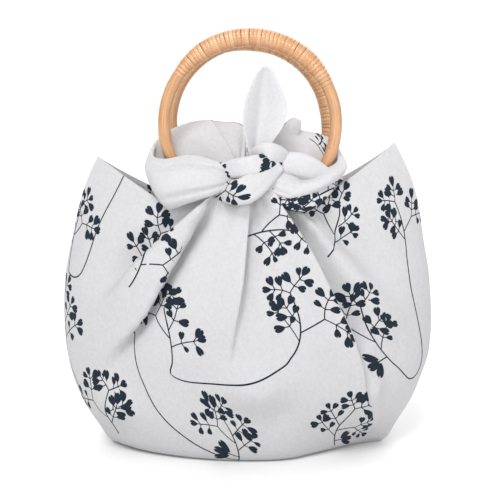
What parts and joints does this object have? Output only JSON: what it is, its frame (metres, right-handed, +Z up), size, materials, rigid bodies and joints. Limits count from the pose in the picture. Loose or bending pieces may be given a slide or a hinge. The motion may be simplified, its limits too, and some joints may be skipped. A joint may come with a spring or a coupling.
{
  "type": "knot bag",
  "caption": "Soft cloth bag with pointed sides, its corners threaded through upright cane ring handles and tied in a knot on each face, open at the top.",
  "frame": {"origin": "middle of the flat base, on the surface that the bag stands on", "axes": "+Z up, +X to the right seen from the front, +Y towards the back; the front face with its knot looks along -Y"},
  "size_m": [0.3022, 0.1676, 0.3333],
  "materials": {
    "cloth": "plain-woven off-white cotton with a dark blue leaf print",
    "cane": "smooth honey-coloured cane, satin varnish",
    "peel": "narrow cane peel wound turn by turn, satin varnish"
  },
  "bodies": {
    "root": {"cloth": "cloth", "ring_front": "cane", "binding_front": "peel", "ring_back": "cane", "binding_back": "peel"}
  },
  "joints": []
}
